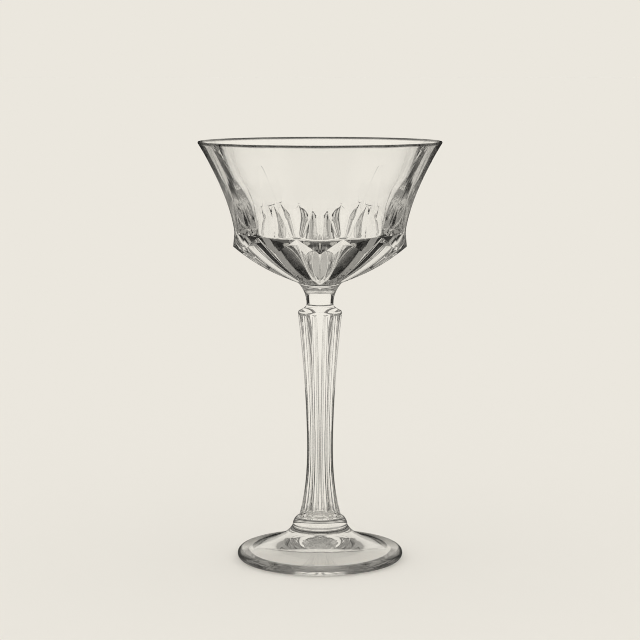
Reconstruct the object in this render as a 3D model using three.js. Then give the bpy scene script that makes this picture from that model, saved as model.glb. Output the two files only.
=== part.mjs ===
// Champagne coupe in clear pressed glass: a flared, cut bowl on a fluted stem and a round foot.
// Frame: millimetres, +Z up along the axis, origin on the table under the middle of the foot.
// The real glass is pressed as five pieces that are fused while hot, so each piece is a solid of its
// own here, and neighbours meet face to face on flat joint planes.

import * as THREE from "three";
import { mergeVertices } from "three/addons/utils/BufferGeometryUtils.js";

// Driving dimensions, in millimetres
const HEIGHT = 173;
const RIM_RADIUS = 50;
const LIP_RADIUS = 0.65; // the fire-polished edge is a half round
const WALL = 3; // thickness the bowl's wall grows to below the lip
const WALL_RUN = 7; // depth below the lip in which most of that growth happens
const WAIST_RADIUS = 35; // narrowest part of the bowl's wall
const GIRDLE_RADIUS = 35.7; // widest part below the waist
const NECK_RADIUS = 5.55;
const SHOULDER_RADIUS = 9.05;
const STEM_RADIUS = 5.38; // narrowest part of the stem
const STEM_FOOT_RADIUS = 8.75;
const COLLAR_RADIUS = 11.35;
const FOOT_RADIUS = 34.3;
const FOOT_EDGE = 4; // thickness of the foot at its rounded edge
const FOOT_RING_RADIUS = 28.4; // inner edge of the flat ring that the foot stands on

// Heights above the table, in millimetres
const APEX_Z = 167.6; // top of each pointed arch between two flutes
const ARCH_Z = 143.6; // height where the arch springs from the flutes' steep sides
const WAIST_Z = 135.8; // lower end of each flute, where the groove under it begins
const TIP_Z = 129.6; // lowest corner of each diamond on the girdle
const BOWL_FLOOR_Z = 115.7;
const GROOVE_END_Z = 115;
const BOWL_JOINT_Z = 112;
const NECK_Z = 106.2;
const NECK_JOINT_Z = 105.2;
const SHOULDER_Z = 102.6;
const STEM_WAIST_Z = 46;
const STEM_JOINT_Z = 17.4;
const COLLAR_Z = 14.4;
const FOOT_JOINT_Z = 12;
const DISH_DEPTH = 7.25; // top of the hollow under the foot

// Cut pattern: ridges face front and back, and every flute and groove lies midway between two ridges
const SECTORS = 12;
const FLUTE_DEPTH = 0.6; // at the lower end of the flute
const FLUTE_DEPTH_AT_RIM = 0.8;
const FLUTE_RUN = 1.9; // length in which a flute sinks in above the waist
const FLUTE_END_SHARE = 0.27; // half width of a flute's flat end, as a share of half a sector
const FLUTE_END_RISE = 0.5; // how far that end curves up to its corners
const ARCH_SHARE = 0.637; // half width of a flute where the arches spring
const FACET = 0.3; // flatness of the girdle's diamonds: 0 is round, 1 is flat
const STEM_FLUTE_SHARE = 0.06; // depth of a stem flute as a share of the stem's radius
const STEM_FLUTE_RUN = 2.4; // length in which a stem flute sinks in below the shoulder

// Mesh steps
const BOWL_COLUMNS = [0, 0.2, 0.42, 0.68, 1]; // shares of the way from a ridge to the valley beside it
const STEM_COLUMNS = [0, 1 / 3, 2 / 3, 1];
const ROUND_STEPS = 60;
const MERGE_DISTANCE = 1e-3;

const HALF_SECTOR = Math.PI / SECTORS;

const point = (radius, z) => new THREE.Vector2(radius, z);
const bend = (start, control, end) => new THREE.QuadraticBezierCurve(start, control, end);
const share = (step, steps) => step / steps;
const { lerp: mix, clamp, smoothstep: smooth } = THREE.MathUtils;

// Radius of an upright quadratic curve at a height: the curve's height is solved for its parameter.
function radiusAt(curve, z) {
  const { v0, v1, v2 } = curve;
  const a = v0.y - 2 * v1.y + v2.y;
  const b = 2 * (v1.y - v0.y);
  const c = v0.y - z;
  const root = Math.sqrt(Math.max(b * b - 4 * a * c, 0));
  return curve.getPoint((2 * -c) / (b + Math.sign(b) * root)).x;
}

// Columns round the axis, each with its share w of the way from a ridge (0) to a valley (1).
function columnsRound(shares) {
  const columns = [];
  const falling = shares.toReversed();
  for (let half = 0; half < 2 * SECTORS; half++)
    for (let step = 0; step + 1 < shares.length; step++) {
      const rising = half % 2 === 0;
      const w = rising ? shares[step] : falling[step];
      const ridge = HALF_SECTOR * (rising ? half : half + 1);
      const valley = HALF_SECTOR * (rising ? half + 1 : half);
      columns.push({ w, ridge, valley, angle: mix(ridge, valley, w) });
    }
  return columns;
}

const onCircle = (radius, angle, z) =>
  new THREE.Vector3(radius * Math.cos(angle), radius * Math.sin(angle), z);

// A point of the flat face between a ridge point and a valley point, both given as radius and height.
const onFace = (ridgePoint, valleyPoint, column) =>
  onCircle(ridgePoint.x, column.ridge, ridgePoint.y).lerp(
    onCircle(valleyPoint.x, column.valley, valleyPoint.y),
    column.w,
  );

// Joins rings of points, from the lower end of the outside round to the other end, into a closed skin.
// A ring may shrink to a point, so faces that lose a corner are left out.
function skin(rings) {
  const count = rings[0].length;
  const faces = [];
  for (let row = 0; row + 1 < rings.length; row++)
    for (let column = 0; column < count; column++) {
      const next = (column + 1) % count;
      const below = row * count;
      const above = below + count;
      faces.push(below + column, below + next, above + next);
      faces.push(below + column, above + next, above + column);
    }
  const grid = new THREE.BufferGeometry().setFromPoints(rings.flat()).setIndex(faces);
  const merged = mergeVertices(grid, MERGE_DISTANCE);
  const kept = [];
  for (let i = 0; i < merged.index.count; i += 3) {
    const [a, b, c] = merged.index.array.slice(i, i + 3);
    if (a !== b && b !== c && c !== a) kept.push(a, b, c);
  }
  return merged.setIndex(kept);
}

// A piece turned from a half outline that starts and ends on the axis, with its axis laid along +Z.
function turned(outline, curveSteps) {
  return new THREE.LatheGeometry(outline.getPoints(curveSteps), ROUND_STEPS).rotateX(Math.PI / 2);
}

// Bowl outlines, as radius and height
const LIP_CENTRE = point(RIM_RADIUS - LIP_RADIUS, HEIGHT - LIP_RADIUS);
const FLARE_ANGLE = Math.atan(0.61); // lean of the wall at the rim
const LIP_OUT = point(LIP_RADIUS * Math.cos(FLARE_ANGLE), -LIP_RADIUS * Math.sin(FLARE_ANGLE));
const flare = bend(point(WAIST_RADIUS, WAIST_Z), point(37.3, 151.7), LIP_CENTRE.clone().add(LIP_OUT));
const insideTop = LIP_CENTRE.clone().sub(LIP_OUT);
const floorCorner = point(28.3, 135.9);
const floor = new THREE.CubicBezierCurve(
  floorCorner,
  point(29, 134.4),
  point(12.2, BOWL_FLOOR_Z),
  point(0, BOWL_FLOOR_Z),
);
const tip = point(GIRDLE_RADIUS, TIP_Z);
const waistCorner = point(WAIST_RADIUS, WAIST_Z);
const grooveEnd = point(9, GROOVE_END_Z);
const ridgeUnder = bend(grooveEnd, point(23.8, 119.6), tip);
const valleyUnder = bend(grooveEnd, point(24.2, 124.6), waistCorner);
const neckFlare = bend(grooveEnd, point(NECK_RADIUS, 111.3), point(NECK_RADIUS, NECK_Z));
const BOWL_JOINT_RADIUS = radiusAt(neckFlare, BOWL_JOINT_Z);

// Radius of the ridges between the flutes, and of the girdle under the waist
const ridgeRadius = (z) =>
  z >= WAIST_Z
    ? radiusAt(flare, z)
    : mix(GIRDLE_RADIUS, WAIST_RADIUS, (z - TIP_Z) / (WAIST_Z - TIP_Z));

// How far the girdle's flattened faces lie inside the round through their edges, none at the arch's point
const facetDepth = (radius, w, z) =>
  FACET *
  radius *
  (1 - Math.cos(HALF_SECTOR / 2) / Math.cos(HALF_SECTOR * (w - 0.5))) *
  clamp((APEX_Z - z) / 3, 0, 1);

// A flute's hollow section, 0 on the ridges and 1 along its middle
const hollow = (w) => 1 - (1 - w) ** 2;

// Height of a flute's lower edge: a flat end at the waist, steep sides, and a pointed arch over each ridge
function fluteEdge(w) {
  const u = 1 - w;
  const end = FLUTE_END_RISE * Math.min(u / FLUTE_END_SHARE, 1) ** 2;
  const side = smooth(u, FLUTE_END_SHARE, ARCH_SHARE);
  const arch = clamp((u - ARCH_SHARE) / (1 - ARCH_SHARE), 0, 1);
  return WAIST_Z + end + (ARCH_Z - WAIST_Z - FLUTE_END_RISE) * side + (APEX_Z - ARCH_Z) * arch;
}

// Half width of a flute at a height, as a share of half a sector: the flute's edge solved by halving
function fluteShare(z) {
  let low = 0;
  let high = 1;
  for (let step = 0; step < 30; step++) {
    const middle = (low + high) / 2;
    if (fluteEdge(1 - middle) < z) low = middle;
    else high = middle;
  }
  return Math.max(high, 1e-6);
}

// Depth of the surface below the ridges' round: a parabola across the flute, sunk in on a round end
function fluteDepth(w, z) {
  const width = fluteShare(z);
  const atEdge = facetDepth(ridgeRadius(z), 1 - width, z);
  const sunk = Math.sqrt(1 - (1 - clamp((z - WAIST_Z) / FLUTE_RUN, 0, 1)) ** 2);
  const up = clamp((z - ARCH_Z) / (HEIGHT - ARCH_Z), 0, 1);
  const middle = Math.max(mix(FLUTE_DEPTH, FLUTE_DEPTH_AT_RIM, up) * sunk, atEdge);
  return mix(atEdge, middle, 1 - Math.min((1 - w) / width, 1) ** 2);
}

// Inside radius of the wall: the flare's less a thickness that grows below the lip, eased to the floor's corner
function insideRadius(z) {
  const below = insideTop.y - z;
  const start = radiusAt(flare, insideTop.y) - insideTop.x;
  const radiusUnder = (depth, height) =>
    radiusAt(flare, height) - start - (WALL - start) * (1 - Math.exp(-depth / WALL_RUN));
  const full = insideTop.y - floorCorner.y;
  const miss = floorCorner.x - radiusUnder(full, floorCorner.y);
  return radiusUnder(below, z) + miss * smooth(below / full, 0.35, 1);
}

function bowlGeometry() {
  const columns = columnsRound(BOWL_COLUMNS);
  const round = (radius, z) => columns.map((column) => onCircle(radius, column.angle, z));
  const rings = [round(0, BOWL_JOINT_Z), round(BOWL_JOINT_RADIUS, BOWL_JOINT_Z)];

  const neckRows = 2;
  for (let row = 1; row <= neckRows; row++) {
    const z = mix(BOWL_JOINT_Z, GROOVE_END_Z, share(row, neckRows));
    rings.push(round(radiusAt(neckFlare, z), z));
  }

  // Grooves under the bowl: flat faces between the ridges and the valleys, up to the diamonds
  const grooveRows = 6;
  for (let row = 1; row <= grooveRows; row++) {
    const t = share(row, grooveRows);
    const ridge = ridgeUnder.getPoint(t);
    const valley = valleyUnder.getPoint(t);
    rings.push(columns.map((column) => onFace(ridge, valley, column)));
  }

  // Diamonds on the girdle: flat faces from the groove edge up to the flute edge
  const diamondRows = 4;
  for (let row = 1; row <= diamondRows; row++)
    rings.push(
      columns.map((column) => {
        const z = mix(mix(TIP_Z, WAIST_Z, column.w), fluteEdge(column.w), share(row, diamondRows));
        const radius = ridgeRadius(z) - facetDepth(ridgeRadius(z), column.w, z);
        return onCircle(radius, column.angle, z);
      }),
    );

  // Flutes from their rounded edge up to the lip
  const fluteRows = 8;
  const fluteTop = flare.v2.y;
  for (let row = 1; row <= fluteRows; row++)
    rings.push(
      columns.map((column) => {
        const z = mix(fluteEdge(column.w), fluteTop, share(row, fluteRows));
        return onCircle(ridgeRadius(z) - fluteDepth(column.w, z), column.angle, z);
      }),
    );

  // Lip: a half round over the edge of the wall, from the fluted outside to the round inside
  const lipRows = 4;
  for (let row = 1; row <= lipRows; row++) {
    const turn = -FLARE_ANGLE + Math.PI * share(row, lipRows);
    const radius = LIP_CENTRE.x + LIP_RADIUS * Math.cos(turn);
    const z = LIP_CENTRE.y + LIP_RADIUS * Math.sin(turn);
    const fade = Math.cos((Math.PI / 2) * share(row, lipRows)) ** 2;
    rings.push(
      columns.map((column) => onCircle(radius - fade * fluteDepth(column.w, fluteTop), column.angle, z)),
    );
  }

  // Smooth inside, down the wall and over the floor
  const wallRows = 5;
  for (let row = 1; row <= wallRows; row++) {
    const z = mix(insideTop.y, floorCorner.y, share(row, wallRows));
    rings.push(round(insideRadius(z), z));
  }
  const floorRows = 7;
  for (let row = 1; row <= floorRows; row++) {
    const { x, y } = floor.getPoint(share(row, floorRows));
    rings.push(round(x, y));
  }
  return skin(rings);
}

// Neck: a spool that joins the bowl to the stem's shoulder
const shoulderFlare = bend(point(NECK_RADIUS, NECK_Z), point(NECK_RADIUS, 104.9), point(8.55, 103.5));
const NECK_JOINT_RADIUS = radiusAt(shoulderFlare, NECK_JOINT_Z);

function neckGeometry() {
  const outline = new THREE.Path().moveTo(0, NECK_JOINT_Z).lineTo(NECK_JOINT_RADIUS, NECK_JOINT_Z);
  const lowerSteps = 2;
  const upperSteps = 5;
  for (let step = 1; step <= lowerSteps; step++) {
    const z = mix(NECK_JOINT_Z, NECK_Z, share(step, lowerSteps));
    outline.lineTo(radiusAt(shoulderFlare, z), z);
  }
  for (let step = 1; step <= upperSteps; step++) {
    const z = mix(NECK_Z, BOWL_JOINT_Z, share(step, upperSteps));
    outline.lineTo(radiusAt(neckFlare, z), z);
  }
  return turned(outline.lineTo(0, BOWL_JOINT_Z), 1);
}

// Stem outlines along the ridges, from the shoulder down to the narrowest part and out again
const stemUpper = bend(
  point(STEM_RADIUS, STEM_WAIST_Z),
  point(STEM_RADIUS, 69.1),
  point(SHOULDER_RADIUS, SHOULDER_Z),
);
const stemLower = bend(
  point(STEM_FOOT_RADIUS, STEM_JOINT_Z),
  point(STEM_RADIUS, 28.7),
  point(STEM_RADIUS, STEM_WAIST_Z),
);

// Depth of the stem's flutes: they end in rounded scoops under the shoulder
function stemFluteDepth(radius, z, w) {
  const sunk = Math.min((SHOULDER_Z - z) / STEM_FLUTE_RUN, 1);
  return radius * STEM_FLUTE_SHARE * Math.sqrt(1 - (1 - sunk) ** 2) * hollow(w);
}

function stemGeometry() {
  const columns = columnsRound(STEM_COLUMNS);
  const round = (radius, z) => columns.map((column) => onCircle(radius, column.angle, z));
  const fluted = (radius, z) =>
    columns.map((column) => onCircle(radius - stemFluteDepth(radius, z, column.w), column.angle, z));
  const rings = [round(0, STEM_JOINT_Z)];

  const lowerRows = 6;
  for (let row = 0; row <= lowerRows; row++) {
    const { x, y } = stemLower.getPoint(share(row, lowerRows));
    rings.push(fluted(x, y));
  }
  const upperRows = 6;
  for (let row = 1; row <= upperRows; row++) {
    const { x, y } = stemUpper.getPoint(share(row, upperRows + 1));
    rings.push(fluted(x, y));
  }
  const scoopRows = 4;
  const scoopStart = SHOULDER_Z - STEM_FLUTE_RUN;
  for (let row = 0; row <= scoopRows; row++) {
    const z = mix(scoopStart, SHOULDER_Z, Math.sin((Math.PI / 2) * share(row, scoopRows)));
    rings.push(fluted(radiusAt(stemUpper, z), z));
  }

  // Shoulder: a small round over the corner, then the hollow flare up to the neck
  const corner = bend(point(SHOULDER_RADIUS, SHOULDER_Z), point(9.1, 103.25), shoulderFlare.v2);
  const cornerRows = 2;
  for (let row = 1; row <= cornerRows; row++) {
    const { x, y } = corner.getPoint(share(row, cornerRows));
    rings.push(round(x, y));
  }
  const flareRows = 3;
  for (let row = 1; row <= flareRows; row++) {
    const z = mix(shoulderFlare.v2.y, NECK_JOINT_Z, share(row, flareRows));
    rings.push(round(radiusAt(shoulderFlare, z), z));
  }
  rings.push(round(0, NECK_JOINT_Z));
  return skin(rings);
}

// Collar: a rounded button between the stem and the foot, hollowed out below to meet the foot
const cavetto = bend(point(14.8, 9.85), point(11.2, 12.8), point(COLLAR_RADIUS, COLLAR_Z));
const FOOT_JOINT_RADIUS = radiusAt(cavetto, FOOT_JOINT_Z);

function collarGeometry() {
  const outline = new THREE.Path().moveTo(0, FOOT_JOINT_Z).lineTo(FOOT_JOINT_RADIUS, FOOT_JOINT_Z);
  const steps = 3;
  for (let step = 1; step <= steps; step++) {
    const z = mix(FOOT_JOINT_Z, COLLAR_Z, share(step, steps));
    outline.lineTo(radiusAt(cavetto, z), z);
  }
  outline.quadraticCurveTo(10.5, 17.2, STEM_FOOT_RADIUS + 0.2, STEM_JOINT_Z);
  return turned(outline.lineTo(0, STEM_JOINT_Z), 5);
}

// Foot: a low cone with a bull-nosed edge, on a flat ring round a hollow that follows the cone
function footGeometry() {
  const edge = FOOT_EDGE / 2;
  const ringOuter = FOOT_RADIUS - edge;
  const outline = new THREE.Path()
    .moveTo(0, DISH_DEPTH)
    .quadraticCurveTo(4.1, DISH_DEPTH, FOOT_RING_RADIUS, 0)
    .lineTo(ringOuter, 0)
    .absarc(ringOuter, edge, edge, -Math.PI / 2, Math.PI * 0.42, false)
    .quadraticCurveTo(23.1, 4.9, cavetto.v0.x, cavetto.v0.y);
  const steps = 2;
  for (let step = 1; step <= steps; step++) {
    const z = mix(cavetto.v0.y, FOOT_JOINT_Z, share(step, steps));
    outline.lineTo(radiusAt(cavetto, z), z);
  }
  return turned(outline.lineTo(0, FOOT_JOINT_Z), 5);
}

function clearGlass() {
  return new THREE.MeshStandardMaterial({
    color: 0xebe7de,
    roughness: 0.03,
    metalness: 0,
    transparent: true,
    opacity: 0.35,
  });
}

function piece(name, geometry) {
  const mesh = new THREE.Mesh(geometry, clearGlass());
  mesh.name = name;
  return mesh;
}

const coupe = new THREE.Group();
coupe.name = "champagne_coupe";
coupe.add(
  piece("bowl", bowlGeometry()),
  piece("neck", neckGeometry()),
  piece("stem", stemGeometry()),
  piece("collar", collarGeometry()),
  piece("foot", footGeometry()),
);

export default coupe;
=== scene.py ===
import bpy
import numpy as np
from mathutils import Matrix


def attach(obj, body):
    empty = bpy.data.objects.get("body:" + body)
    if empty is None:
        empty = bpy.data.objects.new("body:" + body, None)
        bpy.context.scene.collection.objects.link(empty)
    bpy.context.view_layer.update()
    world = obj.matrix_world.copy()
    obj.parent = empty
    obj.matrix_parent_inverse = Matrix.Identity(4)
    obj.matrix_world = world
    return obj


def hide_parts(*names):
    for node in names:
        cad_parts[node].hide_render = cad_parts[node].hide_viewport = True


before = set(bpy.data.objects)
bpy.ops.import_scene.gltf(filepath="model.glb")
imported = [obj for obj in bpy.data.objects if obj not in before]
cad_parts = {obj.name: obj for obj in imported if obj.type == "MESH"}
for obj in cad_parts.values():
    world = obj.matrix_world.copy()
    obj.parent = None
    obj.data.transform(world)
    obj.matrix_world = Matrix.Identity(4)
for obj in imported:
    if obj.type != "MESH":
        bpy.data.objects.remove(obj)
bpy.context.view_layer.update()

# Shapes are worked out in millimetres, as radius and height round the glass's axis, and laid down in metres
MM = 0.001

# Sizes of the glass
HEIGHT = 173.0
RIM_RADIUS = 50.0
LIP_RADIUS = 0.65
FLARE_SLOPE = 0.61
WALL = 3.0
WALL_RUN = 7.0
WALL_EASE_START = 0.35
WAIST_RADIUS = 35.0
GIRDLE_RADIUS = 35.7
NECK_RADIUS = 5.55
SHOULDER_RADIUS = 9.05
STEM_RADIUS = 5.38
STEM_FOOT_RADIUS = 8.75
CROWN_LEDGE = 0.2
COLLAR_RADIUS = 11.35
FOOT_RADIUS = 34.3
FOOT_EDGE = 4.0
FOOT_RING = 28.4
DISH_BEND = 4.1

# Heights above the table
APEX_Z = 167.6
ARCH_Z = 143.6
WAIST_Z = 135.8
TIP_Z = 129.6
BOWL_FLOOR_Z = 115.7
GROOVE_END_Z = 115.0
BOWL_JOINT_Z = 112.0
NECK_Z = 106.2
NECK_JOINT_Z = 105.2
SHOULDER_Z = 102.6
STEM_WAIST_Z = 46.0
STEM_JOINT_Z = 17.4
COLLAR_Z = 14.4
FOOT_JOINT_Z = 12.0
DISH_DEPTH = 7.25

# Cut pattern of the bowl
SECTORS = 12
HALF_SECTOR = np.pi / SECTORS
FLUTE_DEPTH = 0.6
FLUTE_DEPTH_AT_RIM = 0.8
FLUTE_RUN = 1.9
FLUTE_END_SHARE = 0.27
FLUTE_END_RISE = 0.5
ARCH_SHARE = 0.637
FACET = 0.3
FACET_FADE = 3.0
BOWL_EDGE_SOFTNESS = 0.01
RIM_SOFTNESS = 0.042

# Cut pattern of the stem
STEM_FLUTE_HALF = 1.4
STEM_FLUTE_DEPTH = 0.9
STEM_FLUTE_RUN = 1.6
STEM_ARCH_Z = 75.0
STEM_ARCH_TOP = 114.0
STEM_TOP_RUN = 6.0
ROW_GAP = 0.05

# Rows and columns of the nets, and how strongly they gather at the edges
EDGE_PULL = 0.7
BOWL_COLUMNS = np.array([
    0, 0.012, 0.035, 0.07, 0.12, 0.19, 0.27, 0.35, 0.42, 0.465, 0.495, 0.52,
    0.545, 0.57, 0.595, 0.62, 0.66, 0.72, 0.79, 0.86, 0.92, 0.962, 0.988, 1,
])
LAND_STEPS = 8
FLUTE_STEPS = 12
NECK_COLUMNS = 192
FOOT_COLUMNS = 288
EDGE_SAMPLES = 801
JOINT_ROWS = 7
GROOVE_ROWS = 36
DIAMOND_ROWS = 24
FLUTE_ROWS = 44
LIP_ROWS = 12
WALL_ROWS = 30
BOWL_FLOOR_ROWS = 24
NECK_LOW_ROWS = 12
NECK_HIGH_ROWS = 29
STEM_LOWER_ROWS = 45
STEM_UPPER_ROWS = 69
STEM_TOP_ROWS = 40
CORNER_ROWS = 8
SHOULDER_ROWS = 19
CAVETTO_ROWS = 16
CROWN_ROWS = 24
DISH_ROWS = 29
RING_ROWS = 5
NOSE_ROWS = 29
NOSE_END = 0.42
FOOT_TOP_ROWS = 39
RISE_ROWS = 9

# Clear glass: its tint, painted shade on the lip and on edge-on faces, and the mould's ripple
CLEAR = (0.99, 0.99, 0.985)
GLASS_IOR = 1.52
# Painted shade on the lip: the band's height and how grey it is painted
LIP_BAND = 1.2
LIP_PAINTED_SHADE = 0.12
# Painted shade on faces seen edge-on: the slant over which it comes in, and how dark
EDGE_START = 0.83
EDGE_END = 0.98
EDGE_PAINTED_SHADE = 0.05
RIPPLES = (260.0, 260.0, 30.0)
RIPPLE_HEIGHT = 0.000012

# Ground colour of the picture, as scene-linear red, green and blue
GROUND = (0.831, 0.799, 0.730)

# Levels of the staged surroundings as the glass shows them, as shares of the ground colour: light in the
# world, painted light and shade in the floor's colour
LIT_OR_PAINTED_LIGHT = 1.0
# Seen through the glass, the floor is painted brighter than its own colour, most under the foot where it lies
# in shade: painted light. In the world the first of these levels is light.
THROUGH = 1.12
UNDER_FOOT_PAINTED_LIGHT = 1.2
CARD = 0.01
FAR_CARD = 0.4
CARD_TOP_SHARE = 0.3
CEILING = 0.1
ROOM = 0.15
SIDE_ROOM = 0.85
FRONT_ROOM = 0.3
NEAR_FLOOR = 0.03
SIDE_FLOOR = 0.01
FRONT_FLOOR = 0.12
GLOSS = 0.08
TRAPPED_SHORT = 0.35
TRAPPED_FAR = 0.9
TRAPPED_NEAR = 0.34
LOST = 0.06

# Counts of reflections and refractions at which a ray is taken for another kind
ONCE = 0.5
TRAPPED_AFTER = 2.5
LOST_AFTER = 9.5
ONE_PIECE_BELOW = 2.5
MIXED_OVER = (3, 7)

# Bearings from straight behind the glass to either side, in degrees, at which the surroundings change
CARD_START = 37
MAT_START = 40
NEAR_START = 56
CARD_SOFTNESS = 3
CARD_END = (75, 83)
BACKDROP_SIDE = (28, 44)
ROOM_SIDE = (58, 72)
ROOM_FRONT = (120, 140)
FLOOR_SIDE = (20, 40)
FLOOR_FRONT = (75, 100)
STRIP_WIDTH = (7, 32)
STRIP_SOFTNESS = 7
OPEN_WIDTH = 40.0

# Heights above level, in degrees, at which they change
BACKDROP_TOP = (58, 74)
GLOSS_START = (8, 16)
CARD_TOP = (24, 36)
CEILING_START = (36, 60)

# Distances from the glass's axis on the floor, in metres, at which they change
FOOT_REACH = (0.029, 0.034)
MAT_EDGE = (0.08, 0.12)
STRIP_START = (0.15, 0.25)
STRIP_REACH = (0.2, 1.2)
OPEN_START = (0.33, 0.4)
NEAR_REACH = (0.5, 0.58)
MAT_REACH = (0.7, 1.0)
MAT_FADE = (0.7, 1.1)

# Floor, in metres: a little below the foot, and wide enough to reach the horizon
FLOOR_HALF = 40.0
FLOOR_Z = -0.0002

# Camera at the photograph's height, distance and lens: place in metres, tilt in degrees below level
CAMERA_PLACE = (0.0, -0.8222, 0.2028)
CAMERA_TILT = 7.16
SENSOR_WIDTH = 36.0
LENS = 113.19

# Light paths through the glass
FILTER_WIDTH = 1.0
MOST_BOUNCES = 32
GLOSSY_BOUNCES = 24
SEAM_BOUNCES = 16


def bend(start, control, end):
    """A quadratic curve in radius and height, kept as its three control points."""
    return np.array([start, control, end], float)


def along(curve, t):
    """Points of a quadratic or cubic curve at shares t: control points weighted by Bernstein's formula."""
    t = np.asarray(t, float)[..., None]
    weights = {
        3: ((1 - t) ** 2, 2 * t * (1 - t), t**2),
        4: ((1 - t) ** 3, 3 * t * (1 - t) ** 2, 3 * t**2 * (1 - t), t**3),
    }[len(curve)]
    return sum(weight * corner for weight, corner in zip(weights, curve))


def radius_at(curve, z):
    """Radius of an upright quadratic curve at heights z: its height is solved for the curve's share."""
    z0, z1, z2 = curve[:, 1]
    a, b, c = z0 - 2 * z1 + z2, 2 * (z1 - z0), z0 - np.asarray(z, float)
    root = np.sqrt(np.maximum(b * b - 4 * a * c, 0))
    return along(curve, 2 * -c / (b + np.sign(b) * root))[..., 0]


def upright(curve, z):
    """Points of an upright quadratic curve at heights z, as radius and height."""
    return np.stack([radius_at(curve, z), z], -1)


def mix(low, high, share):
    """From low to high by the share."""
    return low + (high - low) * share


def smooth(x):
    """A soft step from 0 to 1: three x squared less two x cubed."""
    x = np.clip(x, 0, 1)
    return x * x * (3 - 2 * x)


def steps(count):
    """Shares above 0 and up to 1 in count even steps."""
    return np.linspace(0, 1, count + 1)[1:]


def gathered(count):
    """Shares 0 to 1 in count steps that lie closer together at both ends: x less a share of a sine wave."""
    x = np.linspace(0, 1, count + 1)
    return x - EDGE_PULL * np.sin(2 * np.pi * x) / (2 * np.pi)


def rounded_share(angle, softness):
    """A triangle wave of the angle, 0 on ridges and 1 in valleys, rounded at its corners by the softness."""
    return np.arccos((1 - softness) * np.cos(np.pi * angle / HALF_SECTOR)) / np.pi


def columns_round(shares, softness):
    """Angles round the axis, and each one's share from a ridge (0) to the valley beside it (1).

    shares says where the columns lie from a ridge to the next valley; every second stretch is mirrored."""
    half = np.arange(2 * SECTORS)[:, None]
    local = np.where(half % 2 == 0, shares[:-1], 1 - shares[:0:-1])
    angle = (HALF_SECTOR * (half + local)).ravel()
    return angle, rounded_share(angle, softness)


def even_angles(count):
    """Angles of count columns spread evenly round the axis."""
    return np.linspace(0, 2 * np.pi, count + 1)[:-1]


def ring(radius, z, angle):
    """Points at these radii, heights and angles, as rows of x, y and z."""
    radius, z, angle = np.broadcast_arrays(radius, z, angle)
    return np.stack([radius * np.cos(angle), radius * np.sin(angle), z], -1)


def turned_rings(profile, angle):
    """A profile of radius and height, swept round the axis."""
    return ring(profile[:, :1], profile[:, 1:], angle[None])


def glass_piece(name, rings, low_centre, high_centre, seams, material, seam_material):
    """Closes rings of points into a solid skin: quads between neighbour rings and a fan to each end's centre.

    seams says of the first and last fan whether it is a face that is fused to the next piece."""
    rows, count, _ = rings.shape
    index = np.arange(rows * count).reshape(rows, count)
    after = np.roll(index, -1, 1)
    quads = np.stack([index[:-1], after[:-1], after[1:], index[1:]], -1).reshape(-1, 4)
    low, high = rows * count, rows * count + 1
    low_fan = np.stack([np.full(count, low), after[0], index[0]], -1)
    high_fan = np.stack([index[-1], after[-1], np.full(count, high)], -1)
    points = np.concatenate([rings.reshape(-1, 3), [low_centre, high_centre]]) * MM
    mesh = bpy.data.meshes.new(name)
    mesh.from_pydata(points, [], quads.tolist() + low_fan.tolist() + high_fan.tolist())
    mesh.materials.append(material)
    mesh.materials.append(seam_material)
    fused = np.repeat([False, seams[0], seams[1]], [len(quads), count, count])
    mesh.polygons.foreach_set("material_index", fused.astype(np.int32))
    mesh.polygons.foreach_set("use_smooth", ~fused)
    mesh.update()
    piece = bpy.data.objects.new(name, mesh)
    bpy.context.scene.collection.objects.link(piece)
    return piece


# Outlines of the bowl: the middle point of each bend is the one that pulls it
FLARE_ANGLE = np.arctan(FLARE_SLOPE)
LIP_CENTRE = np.array([RIM_RADIUS - LIP_RADIUS, HEIGHT - LIP_RADIUS])
LIP_OUT = LIP_RADIUS * np.array([np.cos(FLARE_ANGLE), -np.sin(FLARE_ANGLE)])
FLARE = bend((WAIST_RADIUS, WAIST_Z), (37.3, 151.7), LIP_CENTRE + LIP_OUT)
FLOOR_CORNER = (28.3, 135.9)
FLOOR_BEND = (29.0, 134.4)
FLOOR_FLAT = 12.2
BOWL_FLOOR = np.array([FLOOR_CORNER, FLOOR_BEND, (FLOOR_FLAT, BOWL_FLOOR_Z), (0, BOWL_FLOOR_Z)], float)
GROOVE_END = (9.0, GROOVE_END_Z)
RIDGE_UNDER = bend(GROOVE_END, (23.8, 119.6), (GIRDLE_RADIUS, TIP_Z))
VALLEY_UNDER = bend(GROOVE_END, (24.2, 124.6), (WAIST_RADIUS, WAIST_Z))

# Outlines of the neck and stem
SHOULDER_TOP = (8.55, 103.5)
NECK_FLARE = bend(GROOVE_END, (NECK_RADIUS, 111.3), (NECK_RADIUS, NECK_Z))
SHOULDER_FLARE = bend((NECK_RADIUS, NECK_Z), (NECK_RADIUS, 104.9), SHOULDER_TOP)
SHOULDER_CORNER = bend((SHOULDER_RADIUS, SHOULDER_Z), (9.1, 103.25), SHOULDER_TOP)
STEM_UPPER = bend((STEM_RADIUS, STEM_WAIST_Z), (STEM_RADIUS, 69.1), (SHOULDER_RADIUS, SHOULDER_Z))
STEM_LOWER = bend((STEM_FOOT_RADIUS, STEM_JOINT_Z), (STEM_RADIUS, 28.7), (STEM_RADIUS, STEM_WAIST_Z))

# Outlines of the collar and foot
CAVETTO = bend((14.8, 9.85), (11.2, 12.8), (COLLAR_RADIUS, COLLAR_Z))
CROWN = bend((COLLAR_RADIUS, COLLAR_Z), (10.5, 17.2), (STEM_FOOT_RADIUS + CROWN_LEDGE, STEM_JOINT_Z))
FOOT_TOP_BEND = (23.1, 4.9)


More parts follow.
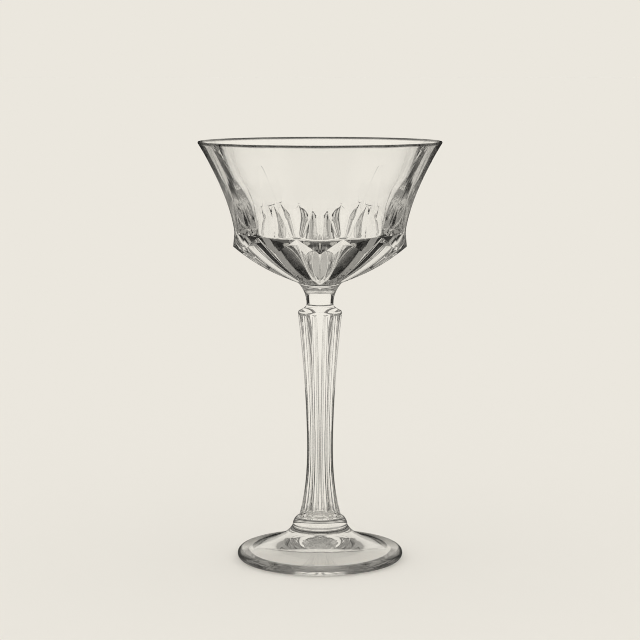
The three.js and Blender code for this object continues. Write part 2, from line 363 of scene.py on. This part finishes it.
def ridge_radius(z):
    """Radius of the ridges between flutes above the waist, and of the girdle that widens below it."""
    girdle = mix(GIRDLE_RADIUS, WAIST_RADIUS, (z - TIP_Z) / (WAIST_Z - TIP_Z))
    return np.where(z >= WAIST_Z, radius_at(FLARE, np.maximum(z, WAIST_Z)), girdle)


def facet_depth(z, w):
    """How far the girdle's flat faces lie inside the round through their edges; it fades out at the apex."""
    chord = np.cos(HALF_SECTOR / 2) / np.cos(HALF_SECTOR * (w - 0.5))
    return FACET * ridge_radius(z) * (1 - chord) * np.clip((APEX_Z - z) / FACET_FADE, 0, 1)


def above_arch(z):
    """Share of the way from the arches' feet up to the rim."""
    return np.clip((z - ARCH_Z) / (HEIGHT - ARCH_Z), 0, 1)


def flute_edge(w):
    """Height of a flute's lower edge: a flat end at the waist, steep sides, a pointed arch on each ridge."""
    u = 1 - w
    end = FLUTE_END_RISE * np.minimum(u / FLUTE_END_SHARE, 1) ** 2
    slope = smooth((u - FLUTE_END_SHARE) / (ARCH_SHARE - FLUTE_END_SHARE))
    side = (ARCH_Z - WAIST_Z - FLUTE_END_RISE) * slope
    arch = (APEX_Z - ARCH_Z) * np.clip((u - ARCH_SHARE) / (1 - ARCH_SHARE), 0, 1)
    return WAIST_Z + end + side + arch


def flute_share(z):
    """Half width of a flute at heights z, as a share of half a sector: its edge read the other way."""
    u = np.linspace(0, 1, EDGE_SAMPLES)
    return np.interp(z, flute_edge(1 - u), u)


def flute_depth(w, z):
    """Depth of the surface below the ridges' round: a parabola across the flute, sunk in on a round end."""
    width = np.maximum(flute_share(z), 1e-6)
    at_edge = facet_depth(z, 1 - width)
    sunk = np.sqrt(np.maximum(1 - (1 - np.clip((z - WAIST_Z) / FLUTE_RUN, 0, 1)) ** 2, 0))
    full = mix(FLUTE_DEPTH, FLUTE_DEPTH_AT_RIM, above_arch(z))
    middle = np.maximum(full * sunk, at_edge)
    return at_edge + (middle - at_edge) * (1 - np.minimum((1 - w) / width, 1) ** 2)


def inside_profile():
    """The inside of the wall from the lip down: the flare's radius less a thickness that grows from the lip.

    Lower down it eases over to the corner of the bowl's floor."""
    z = np.linspace(LIP_CENTRE[1] + LIP_RADIUS * np.sin(FLARE_ANGLE), FLOOR_CORNER[1], WALL_ROWS)
    below = z[0] - z
    start = radius_at(FLARE, z[0]) - (LIP_CENTRE - LIP_OUT)[0]
    wall = start + (WALL - start) * (1 - np.exp(-below / WALL_RUN))
    radius = radius_at(FLARE, z) - wall
    ease = smooth((below / below[-1] - WALL_EASE_START) / (1 - WALL_EASE_START))
    radius += (FLOOR_CORNER[0] - radius[-1]) * ease
    return np.stack([radius, z], -1)


def bowl_rings():
    """The bowl's skin, from the seam under it over the grooves, diamonds, flutes and lip to the inside."""
    angle, w = columns_round(BOWL_COLUMNS, BOWL_EDGE_SOFTNESS)
    neck = turned_rings(upright(NECK_FLARE, np.linspace(BOWL_JOINT_Z, GROOVE_END_Z, JOINT_ROWS)), angle)

    # Grooves: straight lines from the ridge's curve to the valley's line at each share t
    t = gathered(GROOVE_ROWS)[1:]
    ridge = along(RIDGE_UNDER, t)[:, None, :]
    valley = along(VALLEY_UNDER, t)[:, None, :]
    over = mix(ridge[..., 0], valley[..., 0] * np.cos(HALF_SECTOR), w)
    aside = valley[..., 0] * np.sin(HALF_SECTOR) * w
    grooves = ring(np.hypot(over, aside), mix(ridge[..., 1], valley[..., 1], w), angle[None])

    # Diamonds: from the groove's edge up to the flute's edge
    up = gathered(DIAMOND_ROWS)[1:, None]
    diamond_z = mix(mix(TIP_Z, WAIST_Z, w), flute_edge(w), up)
    diamonds = ring(ridge_radius(diamond_z) - facet_depth(diamond_z, w), diamond_z, angle[None])

    # Flutes: from their lower edge up to the lip
    up = gathered(FLUTE_ROWS)[1:, None]
    flute_z = mix(flute_edge(w), FLARE[2, 1], up)
    flute_w = rounded_share(angle[None], mix(BOWL_EDGE_SOFTNESS, RIM_SOFTNESS, above_arch(flute_z)))
    flutes = ring(ridge_radius(flute_z) - flute_depth(flute_w, flute_z), flute_z, angle[None])

    # Lip: a half round, from the fluted outside over to the round inside
    turn = (-FLARE_ANGLE + np.pi * steps(LIP_ROWS))[:, None]
    fade = np.cos(np.pi / 2 * steps(LIP_ROWS))[:, None] ** 2
    lip_radius = LIP_CENTRE[0] + LIP_RADIUS * np.cos(turn) - fade * flute_depth(flute_w[-1], FLARE[2, 1])
    lip = ring(lip_radius, LIP_CENTRE[1] + LIP_RADIUS * np.sin(turn), angle[None])

    wall = turned_rings(inside_profile()[1:], angle)
    floor = turned_rings(along(BOWL_FLOOR, steps(BOWL_FLOOR_ROWS)[:-1]), angle)
    return np.concatenate([neck, grooves, diamonds, flutes, lip, wall, floor])


def neck_rings():
    """A spool between the two flares, from the stem's shoulder up to the bowl."""
    low = np.linspace(NECK_JOINT_Z, NECK_Z, NECK_LOW_ROWS)
    high = mix(NECK_Z, BOWL_JOINT_Z, steps(NECK_HIGH_ROWS))
    profile = np.concatenate([upright(SHOULDER_FLARE, low), upright(NECK_FLARE, high)])
    return turned_rings(profile, even_angles(NECK_COLUMNS))


def stem_section(radius, z):
    """Rings of the fluted stem, and their angles: round lands on the ridges and flutes between.

    A flute is a parabola across, equally wide all the way but for a long narrowing under the shoulder, where
    it ends in a short scoop. The columns follow the edges between land and flute, so those stay sharp."""
    radius, z = np.reshape(radius, (-1, 1)), np.reshape(z, (-1, 1))
    narrow = np.sqrt(1 - np.clip((z - STEM_ARCH_Z) / (STEM_ARCH_TOP - STEM_ARCH_Z), 0, 1) ** 2)
    width = narrow * STEM_FLUTE_HALF / (HALF_SECTOR * radius)
    w = np.hstack([(1 - width) * gathered(LAND_STEPS), 1 - width + width * gathered(FLUTE_STEPS)[1:]])
    half = np.arange(2 * SECTORS)
    rising, falling = w[:, :-1], w[:, :0:-1]
    local = np.stack([falling if k % 2 else rising for k in half], 1)
    angle = HALF_SECTOR * (half[None, :, None] + np.where(half[None, :, None] % 2, 1 - local, local))
    across = np.minimum((1 - local) / width[..., None], 1)
    scoop = np.sqrt(1 - (1 - np.clip((SHOULDER_Z - z) / STEM_FLUTE_RUN, 0, 1)) ** 2)
    depth = STEM_FLUTE_DEPTH * narrow * scoop
    sunk = radius[..., None] - depth[..., None] * (1 - across**2)
    rows = len(w)
    angle = angle.reshape(rows, -1)
    return ring(sunk.reshape(rows, -1), z, angle), angle


def stem_rings():
    """The stem: its ridges follow two curves up to the shoulder's small round and the flare above it."""
    lower = along(STEM_LOWER, np.linspace(0, 1, STEM_LOWER_ROWS))
    upper = along(STEM_UPPER, steps(STEM_UPPER_ROWS))
    top_z = np.linspace(SHOULDER_Z - STEM_TOP_RUN, SHOULDER_Z, STEM_TOP_ROWS)
    upper = upper[upper[:, 1] < top_z[0] - ROW_GAP]
    body = np.concatenate([lower, upper, upright(STEM_UPPER, top_z)])
    fluted, angle = stem_section(body[:, 0], body[:, 1])
    corner = turned_rings(along(SHOULDER_CORNER, steps(CORNER_ROWS)), angle[-1])
    flare_z = mix(SHOULDER_TOP[1], NECK_JOINT_Z, steps(SHOULDER_ROWS))
    flare = turned_rings(upright(SHOULDER_FLARE, flare_z), angle[-1])
    return np.concatenate([fluted, corner, flare])


def collar_rings():
    """A rounded button under the stem, hollowed out below to meet the foot.

    Its top runs in to the stem's flutes."""
    stem_end, angle = stem_section(STEM_FOOT_RADIUS, STEM_JOINT_Z)
    low = np.linspace(FOOT_JOINT_Z, COLLAR_Z, CAVETTO_ROWS)
    profile = np.concatenate([upright(CAVETTO, low), along(CROWN, steps(CROWN_ROWS))])
    return np.concatenate([turned_rings(profile, angle[0]), stem_end])


def foot_rings():
    """A low cone with a bull-nosed edge, on a flat ring round a deep conical hollow."""
    edge = FOOT_EDGE / 2
    ring_outer = FOOT_RADIUS - edge
    dish = along(bend((0, DISH_DEPTH), (DISH_BEND, DISH_DEPTH), (FOOT_RING, 0)), steps(DISH_ROWS))
    flat = np.stack([mix(FOOT_RING, ring_outer, steps(RING_ROWS)), np.zeros(RING_ROWS)], -1)
    turn = mix(-np.pi / 2, np.pi * NOSE_END, steps(NOSE_ROWS))
    nose = np.stack([ring_outer + edge * np.cos(turn), edge + edge * np.sin(turn)], -1)
    top = along(bend(nose[-1], FOOT_TOP_BEND, CAVETTO[0]), steps(FOOT_TOP_ROWS))
    rise = upright(CAVETTO, mix(CAVETTO[0, 1], FOOT_JOINT_Z, steps(RISE_ROWS)))
    return turned_rings(np.concatenate([dish, flat, nose, top, rise]), even_angles(FOOT_COLUMNS))


def calc(tree, operation, *values):
    """One step of arithmetic in a node tree: each value is a number or another node's output."""
    node = tree.nodes.new("ShaderNodeMath")
    node.operation = operation
    for socket, value in zip(node.inputs, values):
        if isinstance(value, bpy.types.NodeSocket):
            tree.links.new(value, socket)
        else:
            socket.default_value = value
    return node.outputs[0]


def linear(tree, value, start, end, low, high, interpolation="LINEAR"):
    """A straight line from low to high while the value goes from start to end, level beyond."""
    node = tree.nodes.new("ShaderNodeMapRange")
    node.interpolation_type = interpolation
    for socket, number in zip(("From Min", "From Max", "To Min", "To Max"), (start, end, low, high)):
        node.inputs[socket].default_value = number
    tree.links.new(value, node.inputs["Value"])
    return node.outputs["Result"]


def ramp(tree, value, start, end, low=0.0, high=1.0):
    """A smooth step from low to high while the value goes from start to end."""
    return linear(tree, value, start, end, low, high, "SMOOTHSTEP")


def blended(tree, low, high, share):
    """From low to high by the share."""
    return calc(tree, "MULTIPLY_ADD", calc(tree, "SUBTRACT", high, low), share, low)


def darkened(tree, level, where, to):
    """The level, brought down to a share of itself where the mask is 1."""
    return calc(tree, "MULTIPLY", level, calc(tree, "MULTIPLY_ADD", where, to - 1.0, 1.0))


def scaled(tree, colour, level):
    """A fixed colour times a level."""
    node = tree.nodes.new("ShaderNodeVectorMath")
    node.operation = "SCALE"
    node.inputs[0].default_value = colour
    tree.links.new(level, node.inputs["Scale"])
    return node.outputs[0]


def clear_glass():
    """Clear pressed glass: full transmission, with a faint upright ripple left by the mould.

    It has painted shade: a grey tint painted into the lip, and a dark refraction painted in where a face is
    seen edge-on."""
    material = bpy.data.materials.new("clear_glass")
    material.use_nodes = True
    tree = material.node_tree
    shader = tree.nodes["Principled BSDF"]
    shader.inputs["Roughness"].default_value = 0.0
    shader.inputs["IOR"].default_value = GLASS_IOR
    shader.inputs["Transmission Weight"].default_value = 1.0

    # Painted shade: the lip tinted grey, by height
    place = tree.nodes.new("ShaderNodeTexCoord")
    parts = tree.nodes.new("ShaderNodeSeparateXYZ")
    tree.links.new(place.outputs["Object"], parts.inputs[0])
    band_start = (HEIGHT - LIP_BAND) * MM
    band_end = (HEIGHT - LIP_BAND / 2) * MM
    lip = ramp(tree, parts.outputs[2], band_start, band_end, 1.0, LIP_PAINTED_SHADE)
    tree.links.new(scaled(tree, CLEAR, lip), shader.inputs["Base Color"])

    # Ripple
    stretch = tree.nodes.new("ShaderNodeVectorMath")
    stretch.operation = "MULTIPLY"
    stretch.inputs[1].default_value = RIPPLES
    tree.links.new(place.outputs["Object"], stretch.inputs[0])
    noise = tree.nodes.new("ShaderNodeTexNoise")
    noise.inputs["Scale"].default_value = 1.0
    noise.inputs["Detail"].default_value = 1.0
    tree.links.new(stretch.outputs[0], noise.inputs["Vector"])
    bump = tree.nodes.new("ShaderNodeBump")
    bump.inputs["Strength"].default_value = 1.0
    bump.inputs["Distance"].default_value = RIPPLE_HEIGHT
    tree.links.new(noise.outputs[0], bump.inputs["Height"])
    tree.links.new(bump.outputs[0], shader.inputs["Normal"])

    # Painted shade: dark refraction where a face is seen edge-on
    slant = tree.nodes.new("ShaderNodeLayerWeight")
    slant.inputs["Blend"].default_value = 0.5
    dark = tree.nodes.new("ShaderNodeBsdfRefraction")
    dark.inputs["Color"].default_value = (EDGE_PAINTED_SHADE, EDGE_PAINTED_SHADE, EDGE_PAINTED_SHADE, 1)
    dark.inputs["Roughness"].default_value = 0.0
    dark.inputs["IOR"].default_value = GLASS_IOR
    blend = tree.nodes.new("ShaderNodeMixShader")
    tree.links.new(ramp(tree, slant.outputs["Facing"], EDGE_START, EDGE_END), blend.inputs[0])
    tree.links.new(shader.outputs[0], blend.inputs[1])
    tree.links.new(dark.outputs[0], blend.inputs[2])
    tree.links.new(blend.outputs[0], tree.nodes["Material Output"].inputs["Surface"])
    return material


def fused_seam():
    """The face where two pieces were fused while hot: glass on both sides, so light passes straight."""
    material = bpy.data.materials.new("fused_seam")
    material.use_nodes = True
    nodes, links = material.node_tree.nodes, material.node_tree.links
    nodes.remove(nodes["Principled BSDF"])
    clear = nodes.new("ShaderNodeBsdfTransparent")
    links.new(clear.outputs["BSDF"], nodes["Material Output"].inputs["Surface"])
    return material


def light_paths(tree):
    """What tells the kinds of ray apart, by name. All but mixed are masks.

    shows_glass: bent by the glass on its way to the camera. turned_back, trapped and lost: reflected at
    least once, three times and ten times. one_piece: refracted twice at most. outside: only reflected off
    the glass. camera: straight from it. mixed is the level of trapped rays that passed several pieces."""
    path = tree.nodes.new("ShaderNodeLightPath").outputs
    bent = calc(tree, "MAXIMUM", path["Is Glossy Ray"], path["Is Transmission Ray"])
    return {
        "shows_glass": calc(tree, "MULTIPLY", bent, calc(tree, "LESS_THAN", path["Diffuse Depth"], ONCE)),
        "turned_back": calc(tree, "GREATER_THAN", path["Glossy Depth"], ONCE),
        "trapped": calc(tree, "GREATER_THAN", path["Glossy Depth"], TRAPPED_AFTER),
        "lost": calc(tree, "GREATER_THAN", path["Glossy Depth"], LOST_AFTER),
        "mixed": linear(tree, path["Glossy Depth"], *MIXED_OVER, TRAPPED_SHORT, TRAPPED_FAR),
        "one_piece": calc(tree, "LESS_THAN", path["Transmission Depth"], ONE_PIECE_BELOW),
        "outside": calc(tree, "LESS_THAN", path["Transmission Depth"], ONCE),
        "camera": path["Is Camera Ray"],
    }


def shown_level(tree, straight, inner, gloss, rays):
    """The level that a ray bent by the glass sees; all other rays see 1.

    It is straight, or inner when the glass turned the ray back, or gloss when it only reflects off the
    outside. Trapped rays see an even level, whatever their direction."""
    # On the floor these levels are painted into its colour: painted light and shade. In the world they are
    # light.
    near = blended(tree, TRAPPED_NEAR, LOST, rays["lost"])
    even = blended(tree, rays["mixed"], near, rays["one_piece"])
    evened = blended(tree, blended(tree, inner, even, rays["trapped"]), gloss, rays["outside"])
    level = blended(tree, straight, evened, rays["turned_back"])
    return blended(tree, 1.0, level, rays["shows_glass"])


def bearing(tree, vector):
    """Angle of a direction from straight ahead (+Y), to either side, in degrees, with its three numbers."""
    parts = tree.nodes.new("ShaderNodeSeparateXYZ")
    tree.links.new(vector, parts.inputs[0])
    angle = calc(tree, "ARCTAN2", parts.outputs[0], parts.outputs[1])
    return calc(tree, "DEGREES", calc(tree, "ABSOLUTE", angle)), parts.outputs


def cards(tree, side, start):
    """The dark card on either side of the backdrop, from its near edge at the bearing start, as a mask."""
    inner = ramp(tree, calc(tree, "SUBTRACT", side, start), -CARD_SOFTNESS, CARD_SOFTNESS)
    return calc(tree, "MULTIPLY", inner, ramp(tree, side, *CARD_END, 1.0, 0.0))


def floor_paint():
    """Matt pale floor, which only rays bent by the glass see otherwise: painted light and shade in its
    colour.

    Straight through, they see dark mats painted to either side, and the floor painted brighter, most under
    the foot. When turned back, they see a painted lit strip that runs back from the glass, with a floor
    painted dark beside it."""
    material = bpy.data.materials.new("floor_paint")
    material.use_nodes = True
    tree = material.node_tree
    shader = tree.nodes["Principled BSDF"]
    shader.inputs["Roughness"].default_value = 1.0
    shader.inputs["Specular IOR Level"].default_value = 0.0
    rays = light_paths(tree)
    place = tree.nodes.new("ShaderNodeTexCoord")
    side, parts = bearing(tree, place.outputs["Object"])
    squares = [calc(tree, "POWER", part, 2.0) for part in parts[:2]]
    away = calc(tree, "SQRT", calc(tree, "ADD", *squares))

    # Painted light and shade: a lit strip and the dark floor beside it, painted into the colour
    narrow = linear(tree, away, *STRIP_REACH, *STRIP_WIDTH)
    limit = calc(tree, "MAXIMUM", narrow, ramp(tree, away, *OPEN_START, 0.0, OPEN_WIDTH))
    strip = ramp(tree, calc(tree, "SUBTRACT", side, limit), 0, STRIP_SOFTNESS, 1.0, 0.0)
    strip = calc(tree, "MULTIPLY", strip, ramp(tree, away, *STRIP_START))
    front = ramp(tree, side, *FLOOR_FRONT, 0.0, FRONT_FLOOR)
    beside = calc(tree, "ADD", ramp(tree, side, *FLOOR_SIDE, NEAR_FLOOR, SIDE_FLOOR), front)
    painted_light = calc(tree, "MAXIMUM", strip, ramp(tree, away, *FOOT_REACH, 1.0, 0.0))
    inner = blended(tree, beside, LIT_OR_PAINTED_LIGHT, painted_light)

    # Dark mats painted to either side, over a floor painted brighter than its own colour, most under the
    # foot: painted light
    bowl_start = ramp(tree, away, *MAT_REACH, MAT_START, CARD_START)
    piece_start = ramp(tree, away, *NEAR_REACH, NEAR_START, MAT_START)
    start = blended(tree, bowl_start, piece_start, rays["one_piece"])
    mats = calc(tree, "MULTIPLY", cards(tree, side, start), ramp(tree, away, *MAT_EDGE))
    fade = blended(tree, ramp(tree, away, *MAT_FADE, 1.0, FAR_CARD), 1.0, rays["one_piece"])
    mats = calc(tree, "MULTIPLY", mats, fade)
    straight = darkened(tree, ramp(tree, away, *FOOT_REACH, UNDER_FOOT_PAINTED_LIGHT, THROUGH), mats, CARD)

    # The level is painted into the floor's colour: painted light and shade as the glass shows it
    level = shown_level(tree, straight, inner, GLOSS, rays)
    tree.links.new(scaled(tree, GROUND, level), shader.inputs["Base Color"])
    return material


def pale_floor():
    """A wide flat floor just under the foot."""
    mesh = bpy.data.meshes.new("floor")
    corners = [(-1, -1), (1, -1), (1, 1), (-1, 1)]
    mesh.from_pydata([(x * FLOOR_HALF, y * FLOOR_HALF, FLOOR_Z) for x, y in corners], [], [(0, 1, 2, 3)])
    mesh.materials.append(floor_paint())
    floor = bpy.data.objects.new("floor", mesh)
    bpy.context.scene.collection.objects.link(floor)
    return floor


def studio_world():
    """Soft white light from all round, and a plain ground for the camera.

    Rays bent by the glass see a staged room: a pale backdrop, dark cards to either side of it, a dark
    ceiling and lit sides, as glass is photographed."""
    world = bpy.data.worlds.new("studio")
    world.use_nodes = True
    tree = world.node_tree
    soft = tree.nodes["Background"]
    soft.inputs["Color"].default_value = (1, 1, 1, 1)
    soft.inputs["Strength"].default_value = 1.0
    rays = light_paths(tree)
    place = tree.nodes.new("ShaderNodeTexCoord")
    side, parts = bearing(tree, place.outputs["Generated"])
    up = calc(tree, "DEGREES", calc(tree, "ARCSINE", parts[2]))

    # Backdrop and room
    top = ramp(tree, up, *BACKDROP_TOP, 1.0, 0.0)
    backdrop = calc(tree, "MULTIPLY", ramp(tree, side, *BACKDROP_SIDE, 1.0, 0.0), top)
    room = blended(tree, ROOM, SIDE_ROOM, ramp(tree, side, *ROOM_SIDE))
    room = blended(tree, room, FRONT_ROOM, ramp(tree, side, *ROOM_FRONT))
    inner = blended(tree, room, LIT_OR_PAINTED_LIGHT, backdrop)
    gloss = blended(tree, GLOSS, LIT_OR_PAINTED_LIGHT, calc(tree, "MULTIPLY", backdrop, ramp(tree, up, *GLOSS_START)))

    # Dark cards and ceiling
    start = blended(tree, CARD_START, MAT_START, rays["one_piece"])
    dark = calc(tree, "MULTIPLY", cards(tree, side, start), ramp(tree, up, *CARD_TOP, 1.0, CARD_TOP_SHARE))
    dark = calc(tree, "MULTIPLY", dark, blended(tree, FAR_CARD, 1.0, rays["one_piece"]))
    straight = darkened(tree, THROUGH, dark, CARD)
    straight = darkened(tree, straight, ramp(tree, up, *CEILING_START), CEILING)

    shown = tree.nodes.new("ShaderNodeBackground")
    shown.inputs["Color"].default_value = (*GROUND, 1)
    tree.links.new(shown_level(tree, straight, inner, gloss, rays), shown.inputs["Strength"])
    blend = tree.nodes.new("ShaderNodeMixShader")
    tree.links.new(calc(tree, "MAXIMUM", rays["shows_glass"], rays["camera"]), blend.inputs[0])
    tree.links.new(soft.outputs[0], blend.inputs[1])
    tree.links.new(shown.outputs[0], blend.inputs[2])
    tree.links.new(blend.outputs[0], tree.nodes["World Output"].inputs["Surface"])
    return world


# Camera
scene = bpy.context.scene
camera_data = bpy.data.cameras.new("camera")
camera_data.sensor_width = SENSOR_WIDTH
camera_data.lens = LENS
camera = bpy.data.objects.new("camera", camera_data)
camera.location = CAMERA_PLACE
camera.rotation_euler = (np.radians(90 - CAMERA_TILT), 0.0, 0.0)
scene.collection.objects.link(camera)
scene.camera = camera

# Floor and light
floor = pale_floor()
scene.world = studio_world()

# The glass, piece by piece: name, node, skin, the two ends' centres, and which ends are fused
glass = clear_glass()
seam = fused_seam()
PIECES = (
    ("cut_bowl", "bowl", bowl_rings(), (0, 0, BOWL_JOINT_Z), (0, 0, BOWL_FLOOR_Z), (True, False)),
    ("neck_spool", "neck", neck_rings(), (0, 0, NECK_JOINT_Z), (0, 0, BOWL_JOINT_Z), (True, True)),
    ("fluted_stem", "stem", stem_rings(), (0, 0, STEM_JOINT_Z), (0, 0, NECK_JOINT_Z), (True, True)),
    ("button_collar", "collar", collar_rings(), (0, 0, FOOT_JOINT_Z), (0, 0, STEM_JOINT_Z), (True, True)),
    ("domed_foot", "foot", foot_rings(), (0, 0, DISH_DEPTH), (0, 0, FOOT_JOINT_Z), (False, True)),
)
for name, node, rings, low, high, seams in PIECES:
    piece = glass_piece(name, rings, low, high, seams, glass, seam)
    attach(piece, "root")
    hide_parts(node)

# Render settings
scene.view_settings.view_transform = "Standard"
scene.cycles.filter_width = FILTER_WIDTH
scene.cycles.max_bounces = MOST_BOUNCES
scene.cycles.glossy_bounces = GLOSSY_BOUNCES
scene.cycles.transmission_bounces = MOST_BOUNCES
scene.cycles.transparent_max_bounces = SEAM_BOUNCES
